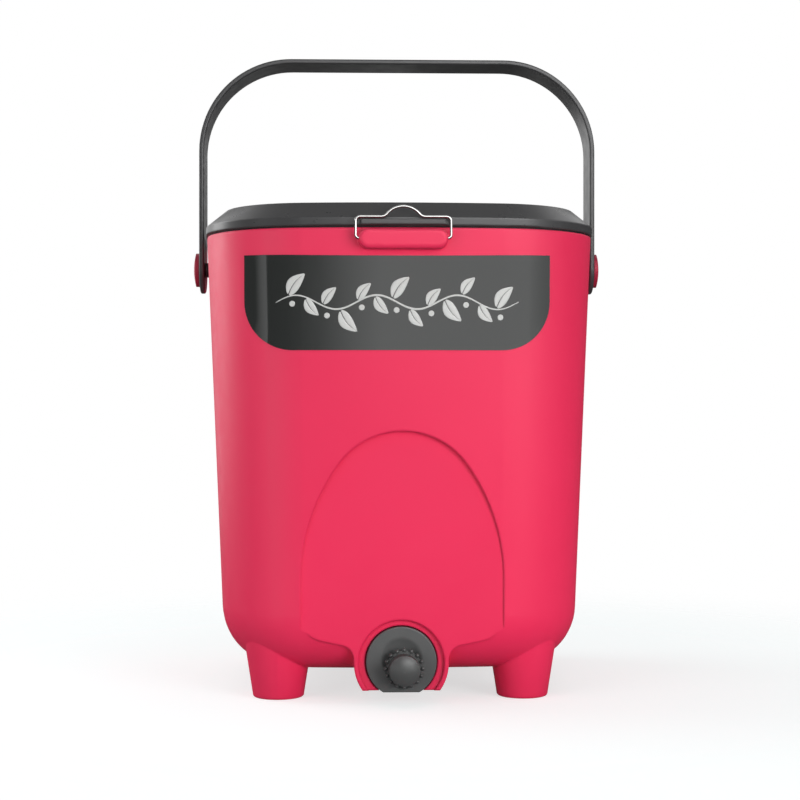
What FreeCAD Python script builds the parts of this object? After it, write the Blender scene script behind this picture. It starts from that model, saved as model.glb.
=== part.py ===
"""Bokashi bin: tapered bucket on four feet with an airtight lift-off lid, bail handle and drain tap.

Frame: millimetres, Z up, floor at Z = 0 under the feet, origin on the bin's centre line.
The front, with the label and the tap, faces -Y. Handle pivots lie on the X sides.
"""
import FreeCAD
import Part
import Sketcher
import math
import os
import re
from enum import IntEnum
from FreeCAD import Placement, Rotation, Vector

SIZES = {
    # rounded square plan, measured on the lid band
    "plan_half": 135.0,
    "side_bow": 622.0,
    "corner_round": 74.0,
    # bucket
    "body_inset": 0.8,
    "wall": 3.0,
    "floor_thick": 3.0,
    "wall_draft": 2.4,
    "rim_z": 309.5,
    "rim_edge": 0.8,
    "base_z": 19.4,
    "base_round": 40.0,
    "foot_set": 53.1,
    "foot_radius": 17.2,
    "foot_edge": 2.0,
    "foot_spread": 7.2,
    "foot_sink": 28.6,
    # arched front panel that runs down into the tap housing
    "panel_set": 17.2,
    "arch_top_z": 178.6,
    "arch_crown": 51.3,
    "arch_flank": 128.7,
    "arch_half": 66.2,
    "arch_foot": 25.0,
    "arch_keel": 11.2,
    "arch_corner": 17.0,
    "arch_throat": 9.5,
    "tower_depth": 40.0,
    # tap housing
    "housing_rise": 7.6,
    "housing_radius": 31.0,
    "housing_drop": 10.3,
    "housing_shift": -0.6,
    "step_radius": 27.75,
    "step_flare": 0.6,
    "step_depth": 2.4,
    "recess_depth": 7.9,
    "tap_wall": 3.5,
    "sump_radius": 16.5,
    "sump_length": 15.0,
    "sump_floor": 3.2,
    # tap, along its own axis from the recess floor outwards
    "tap_drop": 3.0,
    "tap_shift": 1.1,
    "gasket_thick": 1.0,
    "gasket_radius": 13.5,
    "disc_rise": 0.8,
    "disc_radius": 23.05,
    "disc_thick": 7.0,
    "disc_overhang": 1.1,
    "disc_gap": 0.7,
    "disc_edge": 0.8,
    "dish_rise": 2.2,
    "dish_radius": 13.2,
    "dish_depth": 4.0,
    "dish_lip": 4.0,
    "shank_radius": 8.0,
    "shank_clear": 0.3,
    "washer_thick": 1.5,
    "washer_radius": 11.0,
    "nut_thick": 6.0,
    "nut_radius": 11.6,
    "nut_count": 6,
    "plug_radius": 5.0,
    "plug_clear": 0.05,
    "plug_bore": 3.0,
    "port_radius": 1.2,
    "groove_depth": 1.0,
    "groove_width": 1.6,
    "groove_pitch": 3.2,
    "clip_radius": 7.2,
    "clip_thick": 0.9,
    "clip_gap": 0.3,
    # knob
    "knob_gap": 0.4,
    "neck_radius": 8.0,
    "neck_end": 8.8,
    "bead_ring": 12.1,
    "bead_radius": 1.3,
    "bead_length": 4.0,
    "bead_count": 16,
    "knob_collar": 11.7,
    "knob_core": 9.9,
    "knob_shoulder": 22.8,
    "knob_tip": 26.3,
    "knob_socket": 8.0,
    # lid
    "lid_gap": 1.0,
    "band_height": 5.5,
    "chamfer_rise": 11.0,
    "chamfer_run": 13.6,
    "lid_wall": 2.8,
    "lid_edge": 0.9,
    "skirt_clear": 1.2,
    "skirt_depth": 10.0,
    "top_margin": 15.0,
    "top_dip": 1.2,
    "seal_inset": 2.2,
    "seal_width": 2.0,
    "seal_clear": 0.05,
    "catch_set": 1.4,
    "catch_reach": 2.2,
    "catch_height": 3.3,
    "catch_root": 3.0,
    "catch_gap": 0.6,
    # wire latches and their lugs
    "latch_out": 3.6,
    "latch_above": 0.4,
    "latch_gap": 2.0,
    "latch_rise": 14.0,
    "latch_lean": 5.5,
    "wire_radius": 0.9,
    "wire_clear": 0.08,
    "wire_bend": 2.0,
    "wire_turn": 3.0,
    "tip_depth": 5.0,
    "hump_rise": 6.7,
    "hump_crown": 13.5,
    "hump_foot": 5.0,
    "lug_half": 28.6,
    "lug_drop": 7.8,
    "lug_height": 12.6,
    "lug_cover": 4.2,
    "lug_sink": 3.8,
    "lug_edge": 2.5,
    # bail handle and its pivots
    "pivot_drop": 17.5,
    "bail_clear": 2.2,
    "bail_thick": 3.5,
    "bail_rise": 149.0,
    "bail_corner": 65.5,
    "strap_half": 16.8,
    "strap_edge": 1.2,
    "pin_radius": 3.5,
    "pin_clear": 0.08,
    "head_radius": 12.0,
    "head_gap": 0.6,
    "head_thick": 4.2,
    "head_crown": 1.6,
    "bush_radius": 5.2,
    "bush_clear": 0.3,
    "pin_end": 3.2,
    "push_clip_radius": 6.5,
    "push_clip_thick": 1.0,
    # label film
    "label_shift": 3.4,
    "label_margin": 35.4,
    "label_height": 62.0,
    "label_drop": 16.8,
    "label_round": 32.0,
    "label_sag": 3700.0,
    "label_lift": 0.1,
    "label_thick": 0.4,
    # strainer
    "strainer_rise": 40.1,
    "strainer_thick": 3.0,
    "strainer_clear": 1.6,
    "leg_set": 77.0,
    "leg_radius": 5.0,
    "hole_radius": 2.2,
    "ring_pitch": 17.5,
    "ring_count": 5,
    "holes_first_ring": 6,
}

# Places worked out from the sizes above
PANEL_Y = "(plan_half - panel_set)"
PANEL_LEAN = "(wall_draft * 1deg)"
FOOT_REACH = "(plan_half - foot_set)"
FOOT_ROOT_Z = "(base_z + foot_sink)"
FLOOR_Z = "(base_z + floor_thick)"
ARCH_FOOT_Z = "(base_z + arch_foot)"
ARCH_KEEL_Z = "(base_z + arch_keel)"
HOUSING_Z = "(base_z + housing_rise)"
HOUSING_FLAT_Z = "(base_z - housing_drop)"
TAP_Z = f"({HOUSING_Z} - tap_drop)"
DISC_Z = f"({HOUSING_Z} + disc_rise)"
DISC_FLAT_Z = f"({HOUSING_FLAT_Z} - disc_overhang)"
LUG_Z = "(rim_z - lug_drop)"
LUG_LOW_Z = f"({LUG_Z} - lug_height / 2)"
LUG_HIGH_Z = f"({LUG_Z} + lug_height / 2)"
LUG_ROOT = "(plan_half - lug_sink)"
LATCH_Y = "(plan_half + latch_out)"
LATCH_Z = f"({LUG_Z} + latch_above)"
LATCH_HALF = "(lug_half + latch_gap)"
LUG_FRONT = f"({LATCH_Y} + lug_cover)"
CATCH_HALF = "(lug_half - catch_set)"
PIVOT_Z = "(rim_z - pivot_drop)"
BAIL_HALF = "(plan_half + bail_clear + bail_thick)"
LABEL_HALF = "(plan_half - label_margin)"
LABEL_HIGH_Z = "(rim_z - label_drop)"
LABEL_LOW_Z = f"({LABEL_HIGH_Z} - label_height)"
STRAINER_Z = f"({FLOOR_Z} + strainer_rise)"
LEG_REACH = "(plan_half - leg_set)"


class Spot(IntEnum):
    """Points of a sketch piece, and the sketch's own root and axes."""

    START = 1
    END = 2
    CENTRE = 3
    ROOT = -1
    X_LINE = -1
    Y_LINE = -2


START = Spot.START
END = Spot.END
CENTRE = Spot.CENTRE

doc = FreeCAD.newDocument("bokashi_bin")
sheet = doc.addObject("Spreadsheet::Sheet", "sizes")
for row, (alias, amount) in enumerate(SIZES.items(), start=1):
    sheet.set(f"A{row}", alias)
    sheet.set(f"B{row}", str(amount))
    sheet.setAlias(f"B{row}", alias)
doc.recompute()


def formula(text):
    """Write a formula of size names as an expression on the sheet's cells."""

    def cell(name):
        return f"sizes.{name[0]}" if name[0] in SIZES else name[0]

    return re.sub(r"[a-z_]\w*", cell, str(text))


def number(text):
    """Value of a formula of size names."""
    return float(sheet.evalExpression(formula(text)))


def bind(item, target, text):
    """Drive one property of an object by a formula of size names."""
    item.setExpression(target, formula(text))


# Sketch helpers


def new_body(label):
    """Start an empty body under its node name."""
    body = doc.addObject("PartDesign::Body", label)
    body.Label = label
    return body


def datum(body, role):
    """One of the body's own origin planes or axes."""
    return next(item for item in body.Origin.OriginFeatures if item.Role == role)


def new_sketch(body, name, role="XY_Plane", lift="0", shift="0"):
    """Sketch on an origin plane, lifted along its normal and shifted along its first axis."""
    sketch = body.newObject("Sketcher::SketchObject", name)
    sketch.AttachmentSupport = (datum(body, role), [""])
    sketch.MapMode = "FlatFace"
    sketch.AttachmentOffset = Placement(Vector(number(shift), 0, number(lift)), Rotation())
    bind(sketch, "AttachmentOffset.Base.z", lift)
    bind(sketch, "AttachmentOffset.Base.x", shift)
    return sketch


def constrain(sketch, *terms, text=None):
    """Add one constraint, with its value driven by a formula where one is given."""
    if text is None:
        return sketch.addConstraint(Sketcher.Constraint(*terms))
    index = sketch.addConstraint(Sketcher.Constraint(*terms, number(text)))
    bind(sketch, f"Constraints[{index}]", text)
    return index


def pin(sketch, piece, spot, across, up):
    """Hold a sketch point at two formulas, measured from the sketch's origin."""
    for kind, axis, text in (("DistanceX", Spot.Y_LINE, across), ("DistanceY", Spot.X_LINE, up)):
        amount = number(text)
        if abs(amount) < 1e-9:
            constrain(sketch, "PointOnObject", piece, spot, axis)
        elif amount > 0:
            constrain(sketch, kind, Spot.ROOT, START, piece, spot, text=text)
        else:
            constrain(sketch, kind, piece, spot, Spot.ROOT, START, text=f"-({text})")


def arc_between(first, last, radius, turn):
    """Arc from first to last: turn +1 or -1 for the short way round, +2 or -2 for the long way."""
    chord = last - first
    half = chord.Length / 2
    height = math.sqrt(max(radius * radius - half * half, 0.0))
    left = Vector(-chord.y, chord.x, 0).normalize()
    side = 1 if turn in (1, -2) else -1
    middle = (first + last) * 0.5 + left * (side * height)
    ends = [math.atan2(point.y - middle.y, point.x - middle.x) for point in (first, last)]
    if turn < 0:
        ends.reverse()
    return Part.ArcOfCircle(Part.Circle(middle, Vector(0, 0, 1), radius), *ends)


def profile(sketch, corners, arcs=None, closed=True):
    """Chain of lines and arcs through corners given as formulas; arcs maps a side to (radius, turn)."""
    arcs = arcs or {}
    points = [Vector(number(across), number(up), 0) for across, up in corners]
    count = len(points) if closed else len(points) - 1
    pieces = []
    for side in range(count):
        first = points[side]
        last = points[(side + 1) % len(points)]
        if side in arcs:
            radius, turn = arcs[side]
            piece = sketch.addGeometry(arc_between(first, last, number(radius), turn), False)
            constrain(sketch, "Radius", piece, text=radius)
            pieces.append((piece, START, END) if turn > 0 else (piece, END, START))
        else:
            piece = sketch.addGeometry(Part.LineSegment(first, last), False)
            pieces.append((piece, START, END))
    for side, (piece, begin, _) in enumerate(pieces):
        pin(sketch, piece, begin, *corners[side])
    for side in range(count if closed else count - 1):
        piece, _, finish = pieces[side]
        other, begin, _ = pieces[(side + 1) % count]
        constrain(sketch, "Coincident", piece, finish, other, begin)
    if not closed:
        piece, _, finish = pieces[-1]
        pin(sketch, piece, finish, *corners[-1])


def circle(sketch, radius, across="0", up="0"):
    """Circle with its centre and radius given as formulas."""
    spot = Vector(number(across), number(up), 0)
    piece = sketch.addGeometry(Part.Circle(spot, Vector(0, 0, 1), number(radius)), False)
    constrain(sketch, "Radius", piece, text=radius)
    pin(sketch, piece, CENTRE, across, up)


def plan_outline(sketch, inset):
    """Rounded square: four bowed sides and four tangent corner arcs, all set in by one distance."""
    inner = number(inset)
    bow = number("side_bow")
    offset = bow - number("plan_half")
    corner = number("corner_round")
    reach = (math.sqrt(2 * (bow - corner) ** 2 - offset * offset) - offset) / 2
    spread = math.atan2(reach, offset + reach)
    sides = []
    corners = []
    for quarter in range(4):
        turn = quarter * math.pi / 2
        middle = Vector(-offset * math.cos(turn), -offset * math.sin(turn), 0)
        side = Part.Circle(middle, Vector(0, 0, 1), bow - inner)
        sides.append(sketch.addGeometry(Part.ArcOfCircle(side, turn - spread, turn + spread), False))
        diagonal = turn + math.pi / 4
        middle = Vector(math.cos(diagonal), math.sin(diagonal), 0) * (reach * math.sqrt(2))
        round_off = Part.Circle(middle, Vector(0, 0, 1), corner - inner)
        ends = (turn + spread, turn + math.pi / 2 - spread)
        corners.append(sketch.addGeometry(Part.ArcOfCircle(round_off, *ends), False))
    for quarter in range(4):
        constrain(sketch, "Tangent", sides[quarter], END, corners[quarter], START)
        constrain(sketch, "Tangent", corners[quarter], END, sides[(quarter + 1) % 4], START)
        constrain(sketch, "Radius", sides[quarter], text=f"side_bow - ({inset})")
        constrain(sketch, "Radius", corners[quarter], text=f"corner_round - ({inset})")
        back = "side_bow - plan_half"
        across = ("-({0})", "0", "{0}", "0")[quarter].format(back)
        up = ("0", "-({0})", "0", "{0}")[quarter].format(back)
        pin(sketch, sides[quarter], CENTRE, across, up)


# Feature helpers


def plan_sketch(body, name, lift, *insets):
    """Level sketch of one plan outline, or of two that bound a ring."""
    sketch = new_sketch(body, name, lift=lift)
    for inset in insets:
        plan_outline(sketch, inset)
    return sketch


def pad(body, sketch, length, name, reverse=False, both=False):
    """Raise a sketch into a solid, along its normal, against it, or half each way."""
    feature = body.newObject("PartDesign::Pad", name)
    feature.Profile = sketch
    feature.Reversed = reverse
    if both:
        feature.SideType = "Symmetric"
    bind(feature, "Length", length)
    doc.recompute()
    return feature


def pocket(body, sketch, length, name, reverse=False):
    """Cut a sketch into the body and make sure that it removed something."""
    before = body.Shape.Volume
    feature = body.newObject("PartDesign::Pocket", name)
    feature.Profile = sketch
    feature.Reversed = reverse
    bind(feature, "Length", length)
    doc.recompute()
    if body.Shape.Volume >= before:
        raise RuntimeError(f"{body.Label}: {name} removed nothing")
    return feature


def turn_solid(body, sketch, name, kind="Revolution"):
    """Full turn of a sketch about its own upright axis, added or, as a groove, removed."""
    feature = body.newObject(f"PartDesign::{kind}", name)
    feature.Profile = sketch
    feature.ReferenceAxis = (sketch, ["V_Axis"])
    feature.Angle = 360
    doc.recompute()
    return feature


def loft(body, lower, upper, name, kind="AdditiveLoft"):
    """Straight-sided body between two plan sketches, added or removed."""
    feature = body.newObject(f"PartDesign::{kind}", name)
    feature.Profile = lower
    feature.Sections = [upper]
    feature.Ruled = True
    doc.recompute()
    return feature


def polar(body, feature, count, name):
    """Copies of a feature about the body's upright axis."""
    pattern = body.newObject("PartDesign::PolarPattern", name)
    pattern.Originals = [feature]
    pattern.Axis = (datum(body, "Z_Axis"), [""])
    pattern.Angle = 360
    bind(pattern, "Occurrences", count)
    body.Tip = pattern
    doc.recompute()
    return pattern


def soften(body, radius, name, pick):
    """Round the edges of the body that the pick function accepts."""
    base = body.Tip
    edges = [f"Edge{index}" for index, edge in enumerate(base.Shape.Edges, start=1) if pick(edge)]
    feature = body.newObject("PartDesign::Fillet", name)
    feature.Base = (base, edges)
    bind(feature, "Radius", radius)
    doc.recompute()
    return feature


def level(piece, height):
    """True for an edge or face that lies flat at a height."""
    box = piece.BoundBox
    return abs(box.ZMin - height) < 1e-4 and abs(box.ZMax - height) < 1e-4


def cylinder(label, radius, length, place, turn):
    """Plain cylinder for cutting, along the turned Z axis from a place given as three formulas."""
    item = doc.addObject("Part::Cylinder", label)
    bind(item, "Radius", radius)
    bind(item, "Height", length)
    settle(item, place, turn)
    return item


def settle(item, place, turn):
    """Put an object at three formulas with a fixed turn."""
    item.Placement = Placement(Vector(*(number(text) for text in place)), turn)
    for axis, text in zip("xyz", place):
        bind(item, f"Placement.Base.{axis}", text)


def fuse(label, items):
    """Join several solids into one."""
    item = doc.addObject("Part::MultiFuse", label)
    item.Shapes = items
    doc.recompute()
    return item


def combine(kind, label, base, tool):
    """Cut or Common of two solids."""
    item = doc.addObject(f"Part::{kind}", label)
    item.Base = base
    item.Tool = tool
    doc.recompute()
    return item


UPRIGHT = Rotation()
FORWARD = Rotation(Vector(1, 0, 0), 90)
ALONG_X = Rotation(Vector(0, 1, 0), 90)
HALF_TURN = Rotation(Vector(0, 0, 1), 180)


# Bucket


def lean_inset(height, extra="0"):
    """Inset of the leaning wall's outer face at a height, plus an extra distance."""
    return f"body_inset + (rim_z - ({height})) * tan(wall_draft * 1deg) + {extra}"


def leaning_body(label, low, high, extra):
    """Solid with the wall's lean between two heights, set in from the outer face by a distance."""
    body = new_body(label)
    top = plan_sketch(body, f"{label}_plan", high, lean_inset(high, extra))
    block = pad(body, top, f"{high} - ({low})", f"{label}_block", reverse=True)
    faces = list(enumerate(block.Shape.Faces, start=1))
    draft = body.newObject("PartDesign::Draft", f"{label}_draft")
    draft.Base = (block, [f"Face{index}" for index, face in faces if face.BoundBox.ZLength > 1e-3])
    neutral = [f"Face{index}" for index, face in faces if level(face, number(high))]
    draft.NeutralPlane = (block, neutral)
    draft.Reversed = True
    bind(draft, "Angle", "wall_draft")
    doc.recompute()
    return body


def bucket_outside():
    """Outer form: leaning walls, rounded base and rim edges, four tapered feet."""
    body = leaning_body("bucket_outside", "base_z", "rim_z", "0")
    soften(body, "base_round", "base_rounding", lambda edge: level(edge, number("base_z")))
    soften(body, "rim_edge", "rim_rounding", lambda edge: level(edge, number("rim_z")))
    sketch = new_sketch(body, "foot_profile", "XZ_Plane", FOOT_REACH, FOOT_REACH)
    profile(
        sketch,
        [
            ("0", "0"),
            ("foot_radius - foot_edge", "0"),
            ("foot_radius", "foot_edge"),
            ("foot_radius + foot_spread", FOOT_ROOT_Z),
            ("0", FOOT_ROOT_Z),
        ],
        {1: ("foot_edge", 1)},
    )
    foot = turn_solid(body, sketch, "foot")
    polar(body, foot, "4", "feet")
    return body


def arch_outline(sketch, grow):
    """Arch of a crown arc and two tangent flank arcs, down to a shallow keel, set out by a distance."""
    crown = number("arch_crown")
    flank = number("arch_flank")
    half = number("arch_half")
    out = number(grow)
    top = number("arch_top_z") - crown
    side = flank - half
    drop = math.sqrt((flank - crown) ** 2 - side * side)
    lean = math.atan2(drop, side)
    arc = Part.Circle(Vector(0, top, 0), Vector(0, 0, 1), crown + out)
    crown_arc = sketch.addGeometry(Part.ArcOfCircle(arc, lean, math.pi - lean), False)
    arc = Part.Circle(Vector(side, top - drop, 0), Vector(0, 0, 1), flank + out)
    left_arc = sketch.addGeometry(Part.ArcOfCircle(arc, math.pi - lean, math.pi), False)
    arc = Part.Circle(Vector(-side, top - drop, 0), Vector(0, 0, 1), flank + out)
    right_arc = sketch.addGeometry(Part.ArcOfCircle(arc, 0, lean), False)
    shoulder = top - drop
    foot = number(ARCH_FOOT_Z) - out
    keel = Vector(0, number(ARCH_KEEL_Z) - out, 0)
    spots = [
        (Vector(-half - out, shoulder, 0), Vector(-half - out, foot, 0)),
        (Vector(-half - out, foot, 0), keel),
        (keel, Vector(half + out, foot, 0)),
        (Vector(half + out, foot, 0), Vector(half + out, shoulder, 0)),
    ]
    left, low_left, low_right, right = [
        sketch.addGeometry(Part.LineSegment(first, last), False) for first, last in spots
    ]
    pin(sketch, crown_arc, CENTRE, "0", "arch_top_z - arch_crown")
    constrain(sketch, "Radius", crown_arc, text=f"arch_crown + {grow}")
    constrain(sketch, "Radius", left_arc, text=f"arch_flank + {grow}")
    constrain(sketch, "Radius", right_arc, text=f"arch_flank + {grow}")
    constrain(sketch, "Tangent", crown_arc, END, left_arc, START)
    constrain(sketch, "Tangent", right_arc, END, crown_arc, START)
    constrain(sketch, "Tangent", left_arc, END, left, START)
    constrain(sketch, "Tangent", right, END, right_arc, START)
    constrain(sketch, "Coincident", left, END, low_left, START)
    constrain(sketch, "Coincident", low_right, END, right, START)
    constrain(sketch, "Coincident", low_left, END, low_right, START)
    constrain(sketch, "Vertical", left)
    constrain(sketch, "Vertical", right)
    pin(sketch, low_left, START, f"-(arch_half + {grow})", f"{ARCH_FOOT_Z} - {grow}")
    pin(sketch, low_right, END, f"arch_half + {grow}", f"{ARCH_FOOT_Z} - {grow}")
    pin(sketch, low_left, END, "0", f"{ARCH_KEEL_Z} - {grow}")


def flatted_disc(sketch, radius, across, up, flat_up):
    """Disc about a point with a straight lower edge at a height."""
    chord = f"sqrt(({radius})^2 - ({up} - ({flat_up}))^2)"
    ends = [(f"{across} - {chord}", flat_up), (f"{across} + {chord}", flat_up)]
    profile(sketch, ends, {1: (radius, 2)})


def tap_tower():
    """Block behind the arched panel, with the round tap housing at its foot."""
    body = new_body("tap_tower")
    front = f"{PANEL_Y} + 2 * wall"
    sketch = new_sketch(body, "panel_outline", "XZ_Plane", front)
    arch_outline(sketch, "0")
    pad(body, sketch, "tower_depth", "panel_block", reverse=True)
    sketch = new_sketch(body, "housing_outline", "XZ_Plane", front)
    flatted_disc(sketch, "housing_radius", "housing_shift", HOUSING_Z, HOUSING_FLAT_Z)
    pad(body, sketch, "tower_depth", "housing_block", reverse=True)
    half = number("arch_half")

    def runs_back(edge):
        box = edge.BoundBox
        full_depth = abs(box.YLength - number("tower_depth")) < 1e-4
        return full_depth and box.XLength < 1e-4 and box.ZLength < 1e-4

    def lower_corner(edge):
        at_foot = abs(edge.BoundBox.ZMin - number(ARCH_FOOT_Z)) < 1e-4
        return runs_back(edge) and at_foot and abs(abs(edge.BoundBox.XMin) - half) < 1e-4

    def throat(edge):
        height = edge.BoundBox.ZMin
        inside = abs(edge.BoundBox.XMin) < half - 1 and number(HOUSING_FLAT_Z) + 1 < height
        return runs_back(edge) and inside and height < number(ARCH_FOOT_Z) - 1e-4

    soften(body, "arch_corner", "lower_corners", lower_corner)
    soften(body, "arch_throat", "throats", throat)
    return body


def panel_space(label, grow, others=()):
    """Room in front of the arched panel, which leans with the wall, set out and back by a distance."""
    block = new_body(f"{label}_block")
    sketch = new_sketch(block, f"{label}_outline", "XZ_Plane", f"{PANEL_Y} - wall - {grow}")
    arch_outline(sketch, grow)
    pad(block, sketch, "tower_depth", f"{label}_pad")
    front = doc.addObject("Part::Box", f"{label}_front")
    bind(front, "Length", "4 * arch_half")
    bind(front, "Width", f"tower_depth + {grow}")
    bind(front, "Height", "arch_top_z + tower_depth")
    corner = (
        "-2 * arch_half",
        f"tower_depth * (sin({PANEL_LEAN}) - cos({PANEL_LEAN})) - {PANEL_Y}",
        f"{HOUSING_Z} - tower_depth * (sin({PANEL_LEAN}) + cos({PANEL_LEAN}))",
    )
    settle(front, corner, Rotation(Vector(1, 0, 0), number("wall_draft")))
    bind(front, "Placement.Rotation.Angle", PANEL_LEAN)
    whole = fuse(f"{label}_blocks", [block, *others]) if others else block
    return combine("Common", label, whole, front)


def panel_relief():
    """Space in front of panel and housing, which is cut out of the wall and the tower."""
    low = doc.addObject("Part::Box", "relief_low")
    bind(low, "Length", "2 * (arch_half + wall)")
    bind(low, "Width", "tower_depth")
    bind(low, "Height", f"{ARCH_FOOT_Z} - {HOUSING_FLAT_Z} + wall")
    corner = ("-(arch_half + wall)", f"wall - {PANEL_Y} - tower_depth", f"{HOUSING_FLAT_Z} - wall")
    settle(low, corner, UPRIGHT)
    return panel_space("panel_relief", "0", [low])


def bucket_inside():
    """Cavity: leaning walls one wall in, stepped back behind panel and tap, with the tap's sump."""
    above = "rim_z + wall"
    body = leaning_body("cavity", FLOOR_Z, above, "wall")
    soften(body, "base_round - floor_thick", "cavity_rounding", lambda edge: level(edge, number(FLOOR_Z)))
    block = panel_space("panel_back", "wall")
    boss = new_body("recess_back")
    sketch = new_sketch(boss, "recess_back_outline", "XZ_Plane", f"{PANEL_Y} - recess_depth - tap_wall")
    circle(sketch, "step_radius + step_flare + wall", "housing_shift", HOUSING_Z)
    pad(boss, sketch, "tower_depth", "recess_back_block")
    stepped = combine("Cut", "stepped_cavity", body, fuse("panel_and_recess_back", [block, boss]))
    sump = new_body("sump")
    sketch = new_sketch(sump, "sump_outline", "XZ_Plane", f"{PANEL_Y} - recess_depth - tap_wall")
    flatted_disc(sketch, "sump_radius", "tap_shift", TAP_Z, f"{HOUSING_FLAT_Z} + sump_floor")
    pad(sump, sketch, "sump_length", "sump_block", reverse=True)
    return fuse("bucket_inside", [stepped, sump])


def latch_lug(label, turn):
    """Pill-shaped lug on the wall with a blind hole for the wire in each end."""
    body = new_body(label)
    sketch = new_sketch(body, f"{label}_outline", "XZ_Plane", LUG_ROOT)
    end = "(lug_height / 2)"
    inner = f"lug_half - {end}"
    profile(
        sketch,
        [
            (f"-({inner})", LUG_LOW_Z),
            (inner, LUG_LOW_Z),
            ("lug_half", LUG_Z),
            (inner, LUG_HIGH_Z),
            (f"-({inner})", LUG_HIGH_Z),
            ("-lug_half", LUG_Z),
        ],
        {1: (end, 1), 2: (end, 1), 4: (end, 1), 5: (end, 1)},
    )
    pad(body, sketch, f"{LUG_FRONT} - {LUG_ROOT}", f"{label}_block")
    front = number(LUG_FRONT)
    soften(body, "lug_edge", f"{label}_edges", lambda edge: abs(edge.BoundBox.YMax + front) < 1e-4)
    ends = (("right", "lug_half - tip_depth", True), ("left", "tip_depth - lug_half", False))
    for name, lift, reverse in ends:
        sketch = new_sketch(body, f"{label}_{name}_hole", "YZ_Plane", lift)
        circle(sketch, "wire_radius + wire_clear", f"-{LATCH_Y}", LATCH_Z)
        pocket(body, sketch, "tip_depth + lug_half", f"{label}_{name}_bore", reverse)
    body.Placement = Placement(Vector(), turn)
    return body


def make_bucket():
    """Red bucket moulding."""
    outer = fuse(
        "bucket_blank",
        [
            bucket_outside(),
            tap_tower(),
            latch_lug("front_lug", UPRIGHT),
            latch_lug("rear_lug", HALF_TURN),
        ],
    )
    recess_floor = f"recess_depth - {PANEL_Y}"
    step = doc.addObject("Part::Cone", "housing_step")
    bind(step, "Radius1", "step_radius")
    bind(step, "Radius2", "step_radius + 2 * step_flare")
    bind(step, "Height", "step_depth + wall")
    settle(step, ("housing_shift", f"step_depth - {PANEL_Y}", HOUSING_Z), FORWARD)
    relieved = combine("Cut", "relieved_blank", outer, panel_relief())
    cuts = [
        bucket_inside(),
        step,
        cylinder(
            "tap_recess",
            "disc_radius + disc_gap",
            "recess_depth",
            ("housing_shift", recess_floor, DISC_Z),
            FORWARD,
        ),
        cylinder(
            "tap_hole",
            "shank_radius + shank_clear",
            "2 * tap_wall + recess_depth",
            ("tap_shift", f"{recess_floor} + 2 * tap_wall", TAP_Z),
            FORWARD,
        ),
        cylinder(
            "pivot_hole",
            "pin_radius + pin_clear",
            "2 * plan_half",
            ("-plan_half", "0", PIVOT_Z),
            ALONG_X,
        ),
    ]
    return combine("Cut", "bucket", relieved, fuse("bucket_cuts", cuts))


def make_label():
    """Thin film on the front wall, rounded below, with a long shallow curve along its top."""
    low = f"{LABEL_LOW_Z} - label_round"
    high = f"{LABEL_HIGH_Z} + lid_gap"
    outer = leaning_body("film_outside", low, high, "0 - label_lift - label_thick")
    inner = leaning_body("film_inside", low, high, "0 - label_lift")
    skin = combine("Cut", "film_skin", outer, inner)
    shape = new_body("film_shape")
    sketch = new_sketch(shape, "film_outline", "XZ_Plane")
    left = f"-({LABEL_HALF} + label_shift)"
    right = f"{LABEL_HALF} - label_shift"
    profile(
        sketch,
        [
            (f"{left} + label_round", LABEL_LOW_Z),
            (f"{right} - label_round", LABEL_LOW_Z),
            (right, f"{LABEL_LOW_Z} + label_round"),
            (right, LABEL_HIGH_Z),
            (left, LABEL_HIGH_Z),
            (left, f"{LABEL_LOW_Z} + label_round"),
        ],
        {1: ("label_round", 1), 3: ("label_sag", -1), 5: ("label_round", 1)},
    )
    pad(shape, sketch, "plan_half + wall", "film_prism")
    return combine("Common", "front_label", skin, shape)


def make_strainer():
    """Raised sieve plate on four legs, with rings of drain holes and a bay for the panel's back."""
    body = new_body("strainer_blank")
    edge_inset = lean_inset(STRAINER_Z, "wall + strainer_clear")
    pad(body, plan_sketch(body, "plate_outline", STRAINER_Z, edge_inset), "strainer_thick", "plate")
    sketch = new_sketch(body, "leg_outline", lift=FLOOR_Z)
    circle(sketch, "leg_radius", LEG_REACH, LEG_REACH)
    leg = pad(body, sketch, "strainer_rise", "leg")
    polar(body, leg, "4", "legs")
    sketch = new_sketch(body, "middle_hole_outline", lift=f"{STRAINER_Z} + strainer_thick")
    circle(sketch, "hole_radius")
    pocket(body, sketch, "strainer_thick", "middle_hole")
    for ring in range(1, int(number("ring_count")) + 1):
        sketch = new_sketch(body, f"ring_{ring}_outline", lift=f"{STRAINER_Z} + strainer_thick")
        circle(sketch, "hole_radius", f"{ring} * ring_pitch")
        hole = pocket(body, sketch, "strainer_thick", f"ring_{ring}_hole")
        polar(body, hole, f"{ring} * holes_first_ring", f"ring_{ring}")
    return combine("Cut", "strainer", body, panel_space("strainer_bay", "(wall + strainer_clear)"))


# Lid

LID_Z = "rim_z + lid_gap"
BAND_Z = f"{LID_Z} + band_height"
LID_TOP = f"{BAND_Z} + chamfer_rise"
SKIRT_INSET = lean_inset("rim_z - skirt_depth", "wall + skirt_clear")


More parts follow.
